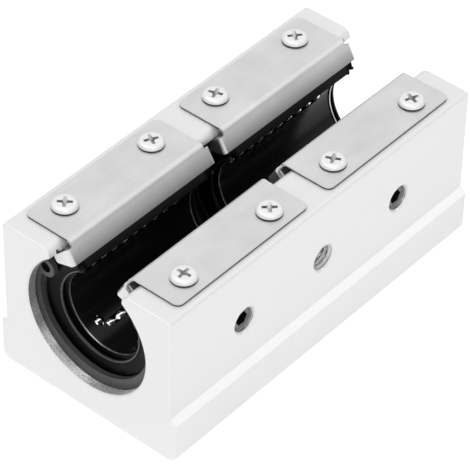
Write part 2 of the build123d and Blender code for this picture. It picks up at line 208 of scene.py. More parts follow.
class Effects:
    """Shared surface effects, each one shader node group made once.

    A noise node's values lie round the noise middle, and the broad lines have the broad share of
    the fine ones' scale.
    """

    noise_middle: float = 0.5
    broad_share: float = 0.13
    fine_detail: float = 4.0
    broad_detail: float = 1.0

    def __init__(self) -> None:
        """Build the groups."""
        self.grain = self._grain()
        self.streaks = self._streaks()
        self.shade = self._shade()
        # The mask of the painted shade, which darkens colour by height.
        self.painted_shade = self._painted_shade_group()

    def _grain(self) -> bpy.types.NodeTree:
        """Fine noise in all directions.

        Returns:
            A group from Vector, Scale, Detail to a Value round 0.
        """
        tree = add_group(
            "fine_grain",
            {"Vector": ("NodeSocketVector", 0.0), "Scale": ("NodeSocketFloat", 4000.0),
             "Detail": ("NodeSocketFloat", 3.0)},
            {"Value": "NodeSocketFloat"},
        )
        noise = tree.nodes.new("ShaderNodeTexNoise")
        centre = add_math(tree.nodes, "SUBTRACT", None, self.noise_middle)
        links = tree.links
        links.new(tree.nodes["in"].outputs["Vector"], noise.inputs["Vector"])
        links.new(tree.nodes["in"].outputs["Scale"], noise.inputs["Scale"])
        links.new(tree.nodes["in"].outputs["Detail"], noise.inputs["Detail"])
        links.new(noise.outputs["Fac"], centre.inputs[0])
        links.new(centre.outputs[0], tree.nodes["out"].inputs["Value"])
        return tree

    def _streaks(self) -> bpy.types.NodeTree:
        """Lines drawn out in one direction, of two widths.

        Returns:
            A group from Vector, Stretch and Scale to a Value round 0.
        """
        tree = add_group(
            "drawn_lines",
            {"Vector": ("NodeSocketVector", 0.0), "Stretch": ("NodeSocketVector", 0.0),
             "Scale": ("NodeSocketFloat", 3000.0)},
            {"Value": "NodeSocketFloat"},
        )
        stretch = tree.nodes.new("ShaderNodeVectorMath")
        stretch.operation = "MULTIPLY"
        fine = tree.nodes.new("ShaderNodeTexNoise")
        fine.inputs["Detail"].default_value = self.fine_detail
        broad = tree.nodes.new("ShaderNodeTexNoise")
        broad.inputs["Detail"].default_value = self.broad_detail
        slower = add_math(tree.nodes, "MULTIPLY", None, self.broad_share)
        both = add_math(tree.nodes, "ADD")
        centre = add_math(tree.nodes, "SUBTRACT", None, 2 * self.noise_middle)
        links = tree.links
        links.new(tree.nodes["in"].outputs["Vector"], stretch.inputs[0])
        links.new(tree.nodes["in"].outputs["Stretch"], stretch.inputs[1])
        links.new(tree.nodes["in"].outputs["Scale"], slower.inputs[0])
        for noise, scale in ((fine, tree.nodes["in"].outputs["Scale"]), (broad, slower.outputs[0])):
            links.new(stretch.outputs[0], noise.inputs["Vector"])
            links.new(scale, noise.inputs["Scale"])
        links.new(fine.outputs["Fac"], both.inputs[0])
        links.new(broad.outputs["Fac"], both.inputs[1])
        links.new(both.outputs[0], centre.inputs[0])
        links.new(centre.outputs[0], tree.nodes["out"].inputs["Value"])
        return tree

    @staticmethod
    def _shade() -> bpy.types.NodeTree:
        """A colour made a little lighter or darker by two values.

        Returns:
            A group from Color, Lines, Lines Amount, Grain and Grain Amount to a Color.
        """
        tree = add_group(
            "shaded_colour",
            {"Color": ("NodeSocketColor", 0.0), "Lines": ("NodeSocketFloat", 0.0),
             "Lines Amount": ("NodeSocketFloat", 0.1), "Grain": ("NodeSocketFloat", 0.0),
             "Grain Amount": ("NodeSocketFloat", 0.1)},
            {"Color": "NodeSocketColor"},
        )
        lines = add_math(tree.nodes, "MULTIPLY")
        grain = add_math(tree.nodes, "MULTIPLY_ADD")
        level = add_math(tree.nodes, "ADD", None, 1.0)
        tint = tree.nodes.new("ShaderNodeVectorMath")
        tint.operation = "SCALE"
        links = tree.links
        source = tree.nodes["in"].outputs
        links.new(source["Lines"], lines.inputs[0])
        links.new(source["Lines Amount"], lines.inputs[1])
        links.new(source["Grain"], grain.inputs[0])
        links.new(source["Grain Amount"], grain.inputs[1])
        links.new(lines.outputs[0], grain.inputs[2])
        links.new(grain.outputs[0], level.inputs[0])
        links.new(source["Color"], tint.inputs[0])
        links.new(level.outputs[0], tint.inputs["Scale"])
        links.new(tint.outputs[0], tree.nodes["out"].inputs["Color"])
        return tree

    @staticmethod
    def _painted_shade_group() -> bpy.types.NodeTree:
        """Painted shade: the part of a surface beyond a height, where the colour is darkened as shade.

        Returns:
            A group from Vector, Height and Width to a Mask, which falls from 1 at the height to 0
            at the height plus the width. It stays 1 below, or above where the width is negative.
        """
        tree = add_group(
            "low_part",
            {"Vector": ("NodeSocketVector", 0.0), "Height": ("NodeSocketFloat", 0.0),
             "Width": ("NodeSocketFloat", 0.001)},
            {"Mask": "NodeSocketFloat"},
        )
        parts = tree.nodes.new("ShaderNodeSeparateXYZ")
        top = add_math(tree.nodes, "ADD")
        below = tree.nodes.new("ShaderNodeMapRange")
        below.inputs["To Min"].default_value = 1.0
        below.inputs["To Max"].default_value = 0.0
        links = tree.links
        source = tree.nodes["in"].outputs
        links.new(source["Vector"], parts.inputs[0])
        links.new(source["Height"], top.inputs[0])
        links.new(source["Width"], top.inputs[1])
        links.new(parts.outputs["Z"], below.inputs["Value"])
        links.new(source["Height"], below.inputs["From Min"])
        links.new(top.outputs[0], below.inputs["From Max"])
        links.new(below.outputs["Result"], tree.nodes["out"].inputs["Mask"])
        return tree


@dataclass(frozen=True)
class Finish:
    """One surface finish: its colour, gloss and the fine pattern on it.

    The pattern is drawn lines and grain, which change the colour, the roughness and the height.
    Turned surfaces gleam across their grooves, which run round X. Where a shade height is given,
    the colour is painted darker as shade: it has only the shade share of its strength at that
    height and beyond. It is whole again the fade distance above it, or below it where the fade is
    negative.
    """

    name: str
    color: tuple[float, float, float]
    roughness: float
    metallic: float = 0.0
    specular: float = 0.5
    turned: float = 0.0
    lines: Lines = Lines.NONE
    line_scale: float = 3000.0
    line_color: float = 0.0
    line_roughness: float = 0.0
    line_height: float = 0.0
    grain_scale: float = 4000.0
    grain_color: float = 0.0
    grain_roughness: float = 0.0
    grain_height: float = 0.0
    painted_shade_height: float = 0.0
    painted_shade_fade: float = 0.00002
    painted_shade_share: float = 0.03

    def material(self, effects: Effects) -> bpy.types.Material:
        """Build the material.

        Args:
            effects: the shared node groups.

        Returns:
            The material, with one Principled BSDF.
        """
        made = bpy.data.materials.new(self.name)
        made.use_nodes = True
        nodes, links = made.node_tree.nodes, made.node_tree.links
        shader = nodes["Principled BSDF"]
        shader.inputs["Metallic"].default_value = self.metallic
        shader.inputs["Specular IOR Level"].default_value = self.specular
        if self.turned:
            grooves = nodes.new("ShaderNodeTangent")
            grooves.direction_type = "RADIAL"
            grooves.axis = "X"
            shader.inputs["Anisotropic"].default_value = self.turned
            shader.inputs["Anisotropic Rotation"].default_value = QUARTER_TURN
            links.new(grooves.outputs["Tangent"], shader.inputs["Tangent"])
        place = nodes.new("ShaderNodeTexCoord").outputs["Object"]
        streaks = self._group(nodes, effects.streaks)
        streaks.inputs["Stretch"].default_value = self.lines.value
        streaks.inputs["Scale"].default_value = self.line_scale
        grain = self._group(nodes, effects.grain)
        grain.inputs["Scale"].default_value = self.grain_scale
        links.new(place, streaks.inputs["Vector"])
        links.new(place, grain.inputs["Vector"])
        shade = self._group(nodes, effects.shade)
        shade.inputs["Color"].default_value = (*self.color, 1.0)
        shade.inputs["Lines Amount"].default_value = self.line_color
        shade.inputs["Grain Amount"].default_value = self.grain_color
        links.new(streaks.outputs["Value"], shade.inputs["Lines"])
        links.new(grain.outputs["Value"], shade.inputs["Grain"])
        color = shade.outputs["Color"]
        # Painted shade: darken the colour beyond a height.
        if self.painted_shade_height:
            color = self._add_painted_shade(made, effects, place, color)
        links.new(color, shader.inputs["Base Color"])
        rough = self._sum(
            made, streaks, self.line_roughness, grain, self.grain_roughness, self.roughness)
        links.new(rough, shader.inputs["Roughness"])
        height = self._sum(made, streaks, self.line_height, grain, self.grain_height, 0.0)
        bump = nodes.new("ShaderNodeBump")
        bump.inputs["Distance"].default_value = 1.0
        links.new(height, bump.inputs["Height"])
        links.new(bump.outputs["Normal"], shader.inputs["Normal"])
        return made

    def _add_painted_shade(self, made: bpy.types.Material, effects: Effects, place: bpy.types.NodeSocket,
                  color: bpy.types.NodeSocket) -> bpy.types.NodeSocket:
        """Paint shade on a colour: darken it beyond a height.

        Args:
            made: the material that gets the nodes.
            effects: the shared node groups.
            place: the socket of the object coordinates.
            color: the colour's socket.

        Returns:
            The darkened colour's socket.
        """
        nodes, links = made.node_tree.nodes, made.node_tree.links
        painted_shade = self._group(nodes, effects.painted_shade)
        painted_shade.inputs["Height"].default_value = self.painted_shade_height
        painted_shade.inputs["Width"].default_value = self.painted_shade_fade
        level = nodes.new("ShaderNodeMapRange")
        level.inputs["To Min"].default_value = 1.0
        level.inputs["To Max"].default_value = self.painted_shade_share
        tint = nodes.new("ShaderNodeVectorMath")
        tint.operation = "SCALE"
        links.new(place, painted_shade.inputs["Vector"])
        links.new(painted_shade.outputs["Mask"], level.inputs["Value"])
        links.new(color, tint.inputs[0])
        links.new(level.outputs["Result"], tint.inputs["Scale"])
        return tint.outputs[0]

    @staticmethod
    def _group(nodes: bpy.types.Nodes, tree: bpy.types.NodeTree) -> bpy.types.Node:
        """Place a shared group in a material.

        Args:
            nodes: the material's nodes.
            tree: the group.

        Returns:
            The node that holds it.
        """
        node = nodes.new("ShaderNodeGroup")
        node.node_tree = tree
        return node

    @staticmethod
    def _sum(made: bpy.types.Material, streaks: bpy.types.Node, by_lines: float,
             grain: bpy.types.Node, by_grain: float, base: float) -> bpy.types.NodeSocket:
        """Add up base + by_lines * lines + by_grain * grain.

        Args:
            made: the material that gets the nodes.
            streaks: the drawn lines' node.
            by_lines: how much the lines count.
            grain: the grain's node.
            by_grain: how much the grain counts.
            base: the value with no pattern.

        Returns:
            The socket that holds the sum.
        """
        nodes, links = made.node_tree.nodes, made.node_tree.links
        first = add_math(nodes, "MULTIPLY_ADD", None, by_lines, base)
        second = add_math(nodes, "MULTIPLY_ADD", None, by_grain)
        links.new(streaks.outputs["Value"], first.inputs[0])
        links.new(grain.outputs["Value"], second.inputs[0])
        links.new(first.outputs[0], second.inputs[2])
        return second.outputs[0]


ANODISED = Finish(
    "anodised_aluminium", color=(0.865, 0.865, 0.865), roughness=0.5, metallic=0.35, lines=Lines.ALONG_X,
    line_scale=2600.0, line_color=0.012, line_roughness=0.05, line_height=0.000002,
    grain_scale=3000.0, grain_color=0.02, grain_roughness=0.05, grain_height=0.000002,
)
THREADED = Finish(
    "threaded_aluminium", color=(0.50, 0.50, 0.50), roughness=0.32, metallic=0.75,
    grain_scale=3000.0, grain_color=0.3, grain_roughness=0.1,
)
# Painted light: a lighter, fully metallic copy of the anodised finish, so the slope of the base shows
# brighter as light falls on it.
SLOPE_PAINTED_LIGHT = Finish(
    "slope_of_the_base", color=(0.95, 0.95, 0.95), roughness=0.3, metallic=1.0, lines=Lines.ALONG_X,
    line_scale=2600.0, line_color=0.012, grain_scale=3000.0, grain_color=0.02,
)
# Turned bore wall, with painted shade: its upper part is darker, fading out further down.
BORED = Finish(
    "bored_aluminium", color=(0.76, 0.76, 0.76), roughness=0.46, metallic=1.0, turned=1.0,
    lines=Lines.AROUND_X, line_scale=2600.0, line_color=0.5, line_roughness=0.1,
    grain_scale=3500.0, grain_color=2.0, grain_roughness=0.3, grain_height=0.000004,
    painted_shade_height=0.0205, painted_shade_fade=-0.0095, painted_shade_share=0.38,
)
# Painted shade: the bore wall between the two bearings is painted near black, as it lies in shade.
BORE_GAP_PAINTED_SHADE = Finish(
    "oiled_bore", color=(0.012, 0.012, 0.012), roughness=0.4, specular=0.3, lines=Lines.AROUND_X,
    line_scale=2600.0, line_color=0.3,
)
SHEET_STEEL = Finish(
    "rolled_sheet_steel", color=(0.68, 0.68, 0.685), roughness=0.4, metallic=1.0, lines=Lines.ALONG_X,
    line_scale=1100.0, line_color=0.09, line_roughness=0.06,
    grain_scale=170.0, grain_color=0.24, grain_roughness=0.1,
)
# Painted shade: the plate's lip darker towards its lower edge, which mirrors the dark opening.
LIP = replace(
    SHEET_STEEL, name="oily_lip_of_sheet",
    painted_shade_height=PLATE_TOP - 0.0050, painted_shade_fade=0.0036, painted_shade_share=0.46,
)
# Cut edge of the sheet: a slightly darker cut face, with painted shadow near black in its lowest 0.3 mm,
# where it sits on the housing.
SHEARED = Finish(
    "sheared_edge_of_sheet", color=(0.62, 0.62, 0.625), roughness=0.45, metallic=0.9,
    grain_scale=3000.0, grain_color=0.3, painted_shade_height=PLATE_TOP - 0.0003,
)
# Bright plated screws, with painted shadow: near black from 0.3 mm above the plate's top downwards, round
# the bottom of each head.
PLATED = Finish(
    "bright_plated_screw", color=(0.85, 0.85, 0.86), roughness=0.55, metallic=0.7,
    grain_scale=3000.0, grain_color=0.05, grain_roughness=0.12, painted_shade_height=PLATE_TOP + 0.0003,
)
# Painted shade: a darker colour in the screws' cross recesses.
RECESSED = Finish(
    "recess_of_a_screw", color=(0.52, 0.52, 0.525), roughness=0.35, metallic=0.9,
    grain_scale=3000.0, grain_color=1.2, grain_roughness=0.12,
)
ALLOY = Finish(
    "dark_set_screw", color=(0.17, 0.17, 0.175), roughness=0.38, metallic=0.8,
    grain_scale=4000.0, grain_color=0.3, grain_roughness=0.1,
)
# Painted shade: near black in the circlip's lug holes and the set screws' sockets.
SOCKET = Finish("black_socket", color=(0.006, 0.006, 0.006), roughness=0.5, specular=0.2)
SPRING = Finish(
    "phosphated_spring_steel", color=(0.08, 0.08, 0.082), roughness=0.45, metallic=0.35,
    grain_scale=5000.0, grain_color=0.25, grain_roughness=0.15,
)
GROUND = Finish(
    "ground_bearing_steel", color=(0.40, 0.40, 0.405), roughness=0.3, metallic=0.9, lines=Lines.AROUND_X,
    line_scale=5000.0, line_color=0.12, line_roughness=0.1,
)
POLISHED = Finish(
    "polished_ball_steel", color=(0.88, 0.88, 0.89), roughness=0.08, metallic=1.0,
    grain_scale=2500.0, grain_roughness=0.04,
)
RESIN = Finish(
    "black_cage_resin", color=(0.006, 0.006, 0.006), roughness=0.25, specular=0.2,
    grain_scale=3500.0, grain_color=0.3, grain_roughness=0.1,
)
RUBBER = Finish(
    "black_seal_rubber", color=(0.002, 0.002, 0.002), roughness=0.32, specular=0.06,
    grain_scale=1500.0, grain_color=0.8, grain_roughness=0.3,
)
RIM_RUBBER = Finish(
    "worn_rim_rubber", color=(0.012, 0.012, 0.012), roughness=0.32, specular=0.6,
    grain_scale=3500.0, grain_color=0.3, grain_roughness=0.1,
)
# Painted highlight: the seal's rubber lip given a light metallic colour, so its edge shows as a bright
# line.
LIP_PAINTED_HIGHLIGHT = Finish(
    "oil_wet_lip", color=(0.55, 0.55, 0.55), roughness=0.35, metallic=0.8,
    grain_scale=600.0, grain_color=0.8, grain_roughness=0.2,
)


def corner_normals(mesh: bpy.types.Mesh) -> np.ndarray:
    """Normals that keep flat faces flat and rounds smooth.

    Each corner of a face takes the mean of the faces that meet there and turn away from its own
    face by less than the smooth angle, each counted by its area.

    Args:
        mesh: a mesh with merged vertices.

    Returns:
        One unit vector for each corner, in the mesh's order.
    """
    corners = np.zeros(len(mesh.loops), dtype=np.int64)
    mesh.loops.foreach_get("vertex_index", corners)
    polygons = mesh.polygons
    totals = np.zeros(len(polygons), dtype=np.int64)
    areas, normals = np.zeros(len(polygons)), np.zeros(len(polygons) * 3)
    polygons.foreach_get("loop_total", totals)
    polygons.foreach_get("area", areas)
    polygons.foreach_get("normal", normals)
    normals = normals.reshape(-1, 3)
    face = np.repeat(np.arange(len(polygons)), totals)
    by_vertex = np.argsort(corners, kind="stable")
    met = np.bincount(corners)
    starts = np.cumsum(met) - met
    partners = met[corners]
    first = np.repeat(np.arange(len(corners)), partners)
    step = np.arange(len(first)) - np.repeat(np.cumsum(partners) - partners, partners)
    second = by_vertex[starts[corners[first]] + step]
    own, other = normals[face[first]], normals[face[second]]
    weight = areas[face[second]] * (np.sum(own * other, axis=1) > math.cos(SMOOTH_ANGLE))
    sums = [np.bincount(first, weight * other[:, axis], len(corners)) for axis in range(3)]
    summed = np.stack(sums, axis=-1)
    return summed / np.maximum(np.linalg.norm(summed, axis=1, keepdims=True), TINY)


class Workshop:
    """Makes pieces and gives them finishes, each material once."""

    def __init__(self) -> None:
        """Start with the shared effects and no materials."""
        self.effects = Effects()
        self.made: dict[str, bpy.types.Material] = {}
        self.pieces: list[bpy.types.Object] = []

    def material(self, finish: Finish) -> bpy.types.Material:
        """Find a finish's material, or make it the first time.

        Args:
            finish: the finish.

        Returns:
            Its only material.
        """
        if finish.name not in self.made:
            self.made[finish.name] = finish.material(self.effects)
        return self.made[finish.name]

    def dress(self, piece: bpy.types.Object, finish: Finish) -> None:
        """Give a piece its only material."""
        piece.data.materials.clear()
        piece.data.materials.append(self.material(finish))

    def zone(self, piece: bpy.types.Object, finish: Finish, faces: np.ndarray) -> None:
        """Give some faces of a piece another finish.

        Args:
            piece: the piece.
            finish: the finish of these faces.
            faces: True for each face that gets it.
        """
        mesh = piece.data
        numbers = np.zeros(len(mesh.polygons), dtype=np.int32)
        mesh.polygons.foreach_get("material_index", numbers)
        numbers[faces] = len(mesh.materials)
        mesh.materials.append(self.material(finish))
        mesh.polygons.foreach_set("material_index", numbers)

    @staticmethod
    def face_table(piece: bpy.types.Object) -> tuple[np.ndarray, np.ndarray]:
        """Look up where a piece's faces lie and look.

        Args:
            piece: the piece.

        Returns:
            The faces' middles and their outward directions, one row for each face.
        """
        polygons = piece.data.polygons
        middles, normals = np.zeros(len(polygons) * 3), np.zeros(len(polygons) * 3)
        polygons.foreach_get("center", middles)
        polygons.foreach_get("normal", normals)
        return middles.reshape(-1, 3), normals.reshape(-1, 3)

    def smooth_copy(self, node: str, finish: Finish, slot: str) -> bpy.types.Object:
        """Stand a merged copy with smooth rounds in for a CAD node.

        Args:
            node: the CAD node's name.
            finish: the finish of the copy.
            slot: the record's material slot.

        Returns:
            The copy, which rides on the block.
        """
        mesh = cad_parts[node].data.copy()
        work = bmesh.new()
        work.from_mesh(mesh)
        bmesh.ops.remove_doubles(work, verts=work.verts, dist=MERGE_DISTANCE)
        work.to_mesh(mesh)
        work.free()
        mesh.shade_smooth()
        mesh.normals_split_custom_set(corner_normals(mesh))
        return self.stand_in(f"{node}_piece", mesh, finish, slot, node)

    def from_arrays(self, name: str, points: np.ndarray, faces: np.ndarray, finish: Finish, slot: str,
                    *nodes: str) -> bpy.types.Object:
        """Make a smooth piece from arrays.

        Args:
            name: the piece's name.
            points: vertices, one row each.
            faces: quads as rows of vertex numbers.
            finish: its finish.
            slot: the record's material slot.
            nodes: the CAD nodes that it stands for.

        Returns:
            The piece, which rides on the block.
        """
        mesh = bpy.data.meshes.new(name)
        mesh.from_pydata(points, [], faces.tolist())
        mesh.validate()
        work = bmesh.new()
        work.from_mesh(mesh)
        bmesh.ops.remove_doubles(work, verts=work.verts, dist=MERGE_DISTANCE)
        bmesh.ops.recalc_face_normals(work, faces=work.faces)
        work.to_mesh(mesh)
        work.free()
        mesh.shade_smooth()
        mesh.set_sharp_from_angle(angle=SMOOTH_ANGLE)
        return self.stand_in(name, mesh, finish, slot, *nodes)

    def stand_in(self, name: str, mesh: bpy.types.Mesh, finish: Finish, slot: str,
                 *nodes: str) -> bpy.types.Object:
        """Put a mesh in the scene as a piece that rides on the block.

        Args:
            name: the piece's name.
            mesh: its mesh, in the row frame.
            finish: its finish.
            slot: not used.
            nodes: the CAD nodes that it stands for.

        Returns:
            The piece.
        """
        piece = bpy.data.objects.new(name, mesh)
        bpy.context.scene.collection.objects.link(piece)
        self.dress(piece, finish)
        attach(piece, "root")
        if nodes:
            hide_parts(*nodes)
        self.pieces.append(piece)
        LOG.info("%s: %d faces, %s", name, len(mesh.polygons), finish.name)
        return piece


def grid_faces(rows: int, columns: int) -> np.ndarray:
    """Quads of a grid of points that closes on itself along its columns.

    Args:
        rows: rows of points.
        columns: points in each row.

    Returns:
        Quads, each a row of four point numbers.
    """
    row, column = np.meshgrid(np.arange(rows - 1), np.arange(columns), indexing="ij")
    after = (column + 1) % columns
    here, above = row * columns, (row + 1) * columns
    corners = [here + column, here + after, above + after, above + column]
    return np.stack(corners, axis=-1).reshape(-1, 4)


@dataclass
class BallCircuit:
    """The balls of one circuit of a bearing: a loaded row, a return row and one ball in each turn."""

    end: End
    side: Side
    level: Level
    sizes: BlockSizes
    around: int = 18
    along: int = 11

    def node(self) -> str:
        """The CAD node's name."""
        return f"{self.end.name.lower()}_{self.side.name.lower()}_{self.level.value}_balls"

    def centres(self) -> np.ndarray:
        """Where the balls' centres are.

        A row at angle a and radius r has its balls at (x, r sin a, axis + r cos a), with equal
        steps in x. A turn's ball lies at half the angle and radius between the two rows.

        Returns:
            One row of x, y, z for each ball.
        """
        s = self.sizes
        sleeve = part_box(f"{self.end.name.lower()}_bearing_sleeve")
        middle = (sleeve[0].x + sleeve[1].x) / 2
        loaded_angle = s.side_row_angle if self.level is Level.UPPER else 180 - s.bottom_row_angle
        count = s.upper_row_balls if self.level is Level.UPPER else s.lower_row_balls
        loaded_radius = s.shaft_radius + s.ball_diameter / 2
        turn_radius = loaded_radius + s.return_lift / 2
        steps = (np.arange(count) - (count - 1) / 2) * (s.ball_diameter + s.ball_gap)
        turn_x = -steps[0] + turn_radius * math.radians(s.row_angle) / 2
        x = np.concatenate([steps, steps, [-turn_x, turn_x]])
        share = np.repeat([0.0, 1.0, 0.5], [count, count, 2])
        radius = loaded_radius + share * s.return_lift
        turn = np.radians(loaded_angle - share * s.row_angle)
        y = self.side.value * radius * np.sin(turn)
        return np.stack([middle + x, y, s.axis_height + radius * np.cos(turn)], axis=-1)

    def build(self, shop: Workshop) -> None:
        """Make the balls as one piece: a sphere is r (sin v cos u, sin v sin u, cos v).

        Args:
            shop: makes the piece.
        """
        u = np.linspace(0, 2 * math.pi, self.around, endpoint=False)
        v = np.linspace(0, math.pi, self.along)[:, None]
        ball = np.stack([np.sin(v) * np.cos(u), np.sin(v) * np.sin(u), np.cos(v) + 0 * u], axis=-1)
        ball = ball.reshape(-1, 3) * self.sizes.ball_diameter / 2
        centres = self.centres()
        points = (centres[:, None, :] + ball[None, :, :]).reshape(-1, 3)
        faces = grid_faces(self.along, self.around)
        starts = np.arange(len(centres)) * len(ball)
        all_faces = (starts[:, None, None] + faces[None, :, :]).reshape(-1, 4)
        shop.from_arrays(f"{self.node()}_piece", points, all_faces, POLISHED, "ball_steel", self.node())


@dataclass
class InsideThread:
    """Screw thread cut in a hole's wall, from its mouth inwards."""

    name: str
    mouth: Vector
    inwards: Vector
    length: float
    sizes: BlockSizes
    depth_share: float = 0.54
    lead_share: float = 0.35
    columns: int = 60
    rows_per_pitch: int = 10
    fewest_rows: int = 4
    sink: float = 0.00002

    def build(self, shop: Workshop) -> None:
        """Make the thread: its radius is the hole's less a triangle wave of s / pitch - angle / turn.

        The wave fades out at both ends, and two outer rows sunk in the wall close the ring.

        Args:
            shop: makes the piece.
        """
        s = self.sizes
        rows = max(self.fewest_rows, int(self.length / s.m6_pitch * self.rows_per_pitch)) + 1
        distance = np.linspace(0, self.length, rows)[:, None]
        angle = np.linspace(0, 2 * math.pi, self.columns, endpoint=False)[None, :]
        phase = (distance / s.m6_pitch - angle / (2 * math.pi)) % 1.0
        wave = 1 - np.abs(2 * phase - 1)
        lead = s.m6_pitch * self.lead_share
        fade = np.clip(np.minimum(distance, self.length - distance) / lead, 0, 1)
        radius = s.m6_radius + self.sink - (self.sink + s.m6_pitch * self.depth_share * wave) * fade
        outer = np.full((1, self.columns), s.m6_radius + self.sink * 2)
        radius = np.concatenate([outer, radius, outer])
        distance = np.concatenate([distance[:1], distance, distance[-1:]])
        axis = self.inwards.normalized()
        first = axis.orthogonal().normalized()
        second = axis.cross(first)
        ring = np.cos(angle)[..., None] * np.array(first) + np.sin(angle)[..., None] * np.array(second)
        points = np.array(self.mouth) + distance[..., None] * np.array(axis) + radius[..., None] * ring
        faces = grid_faces(rows + 2, self.columns)
        closing = grid_faces(2, self.columns)
        closing[:, 2:] += rows * self.columns
        faces = np.concatenate([faces, closing])
        shop.from_arrays(self.name, points.reshape(-1, 3), faces, THREADED, "housing_aluminium")


@dataclass
class Housing:
    """The aluminium housing and the threads in its holes."""

    sizes: BlockSizes
    shop: Workshop

    def dress_zones(self, piece: bpy.types.Object) -> None:
        """Give the bore and the slopes of the base their own finishes.

        A face is in the bore if its middle lies between the bore's wall and the grooves' wall, seen
        from the shaft's axis, inside the two ends and below the slot. The bore's finish has painted
        shade on its upper part. The gap between the bearings is the part of it that lies within the
        bearings' inner ends, painted near black as shade. A slope faces up and sideways, and is
        painted lighter as light.

        Args:
            piece: the housing.
        """
        s = self.sizes
        middles, normals = self.shop.face_table(piece)
        reach = np.hypot(middles[:, 1], middles[:, 2] - s.axis_height)
        inside = np.abs(middles[:, 0]) < CAD_BOX[1][0] - s.hole_edge_break
        in_bore = (reach < s.groove_radius) & inside & (reach > s.bore_radius * (1 - s.wall_slack))
        in_bore &= middles[:, 2] - s.axis_height < s.bore_radius * s.slot_share
        in_gap = in_bore & (np.abs(middles[:, 0]) < CAD_BOX[1][0] / 2)
        painted_light_slope = np.abs(normals[:, 2] - math.sqrt(0.5)) < SQUARE_TO
        painted_light_slope &= np.abs(normals[:, 0]) < SQUARE_TO
        painted_light_slope &= middles[:, 2] < s.axis_height
        self.shop.zone(piece, BORED, in_bore & ~in_gap)
        self.shop.zone(piece, BORE_GAP_PAINTED_SHADE, in_gap)
        self.shop.zone(piece, SLOPE_PAINTED_LIGHT, painted_light_slope & (np.abs(middles[:, 1]) > s.upper_width / 2 - s.m6_radius))

    def build(self) -> None:
        """Dress the housing and cut its threads."""
        self.dress_zones(self.shop.smooth_copy("housing", ANODISED, "housing_aluminium"))
        s = self.sizes
        face_y = -s.upper_width / 2 + s.hole_edge_break
        to_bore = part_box("front_bearing_sleeve")[0].y - face_y
        seat = s.set_screw_recess - s.hole_edge_break
        for label, x, length in (
            ("front_set_screw", -s.side_hole_spacing, seat), ("grease", 0.0, to_bore),
            ("rear_set_screw", s.side_hole_spacing, seat),
        ):
            mouth = Vector((x, face_y, s.axis_height))
            InsideThread(f"{label}_thread", mouth, Vector((0, 1, 0)), length, s).build(self.shop)
        for end in End:
            for side in Side:
                x, y = end.value * s.mount_spacing_x / 2, side.value * s.mount_spacing_y / 2
                name = f"{end.name.lower()}_{side.name.lower()}_mount_thread"
                length = s.mount_hole_depth * s.mount_thread_share
                InsideThread(name, Vector((x, y, 0)), Vector((0, 0, 1)), length, s).build(self.shop)


@dataclass
class Bearing:
    """One of the two open ball bearings."""

    end: End
    sizes: BlockSizes
    shop: Workshop
    name: str = field(init=False)

    def __post_init__(self) -> None:
        """Name the bearing by its end."""
        self.name = self.end.name.lower()

    def build(self) -> None:
        """Dress the sleeve, cage and seals, and make the balls."""
        self.shop.smooth_copy(f"{self.name}_bearing_sleeve", GROUND, "bearing_steel")
        self.shop.smooth_copy(f"{self.name}_ball_cage", RESIN, "cage_resin")
        for place in ("outer", "inner"):
            seal = self.shop.smooth_copy(f"{self.name}_{place}_seal", RUBBER, "seal_rubber")
            self.gloss_rim_paint_lip_highlight(seal, (self.end is End.FRONT) == (place == "outer"))
        for side in Side:
            for level in Level:
                BallCircuit(self.end, side, level, self.sizes).build(self.shop)

    def gloss_rim_paint_lip_highlight(self, seal: bpy.types.Object, faces_front: bool) -> None:
        """Make a seal's round rim glossier, and paint a highlight on the lip's edge round the shaft: a
        light, metallic colour on the rubber.

        Args:
            seal: the seal.
            faces_front: True where its dished face looks to the front.
        """
        s = self.sizes
        middles, _ = self.shop.face_table(seal)
        reach = np.hypot(middles[:, 1], middles[:, 2] - s.axis_height)
        open_side = middles[:, 0].min() if faces_front else middles[:, 0].max()
        depth = np.abs(middles[:, 0] - open_side)
        from_rim = np.hypot(depth - s.seal_rim_place[0] + s.seal_set_back, reach - s.seal_rim_place[1])
        self.shop.zone(seal, RIM_RUBBER, from_rim < s.seal_rim_round * (1 + s.rim_slack))
        # Painted highlight on the lip's edge.
        self.shop.zone(seal, LIP_PAINTED_HIGHLIGHT, reach < s.seal_lip_radius)


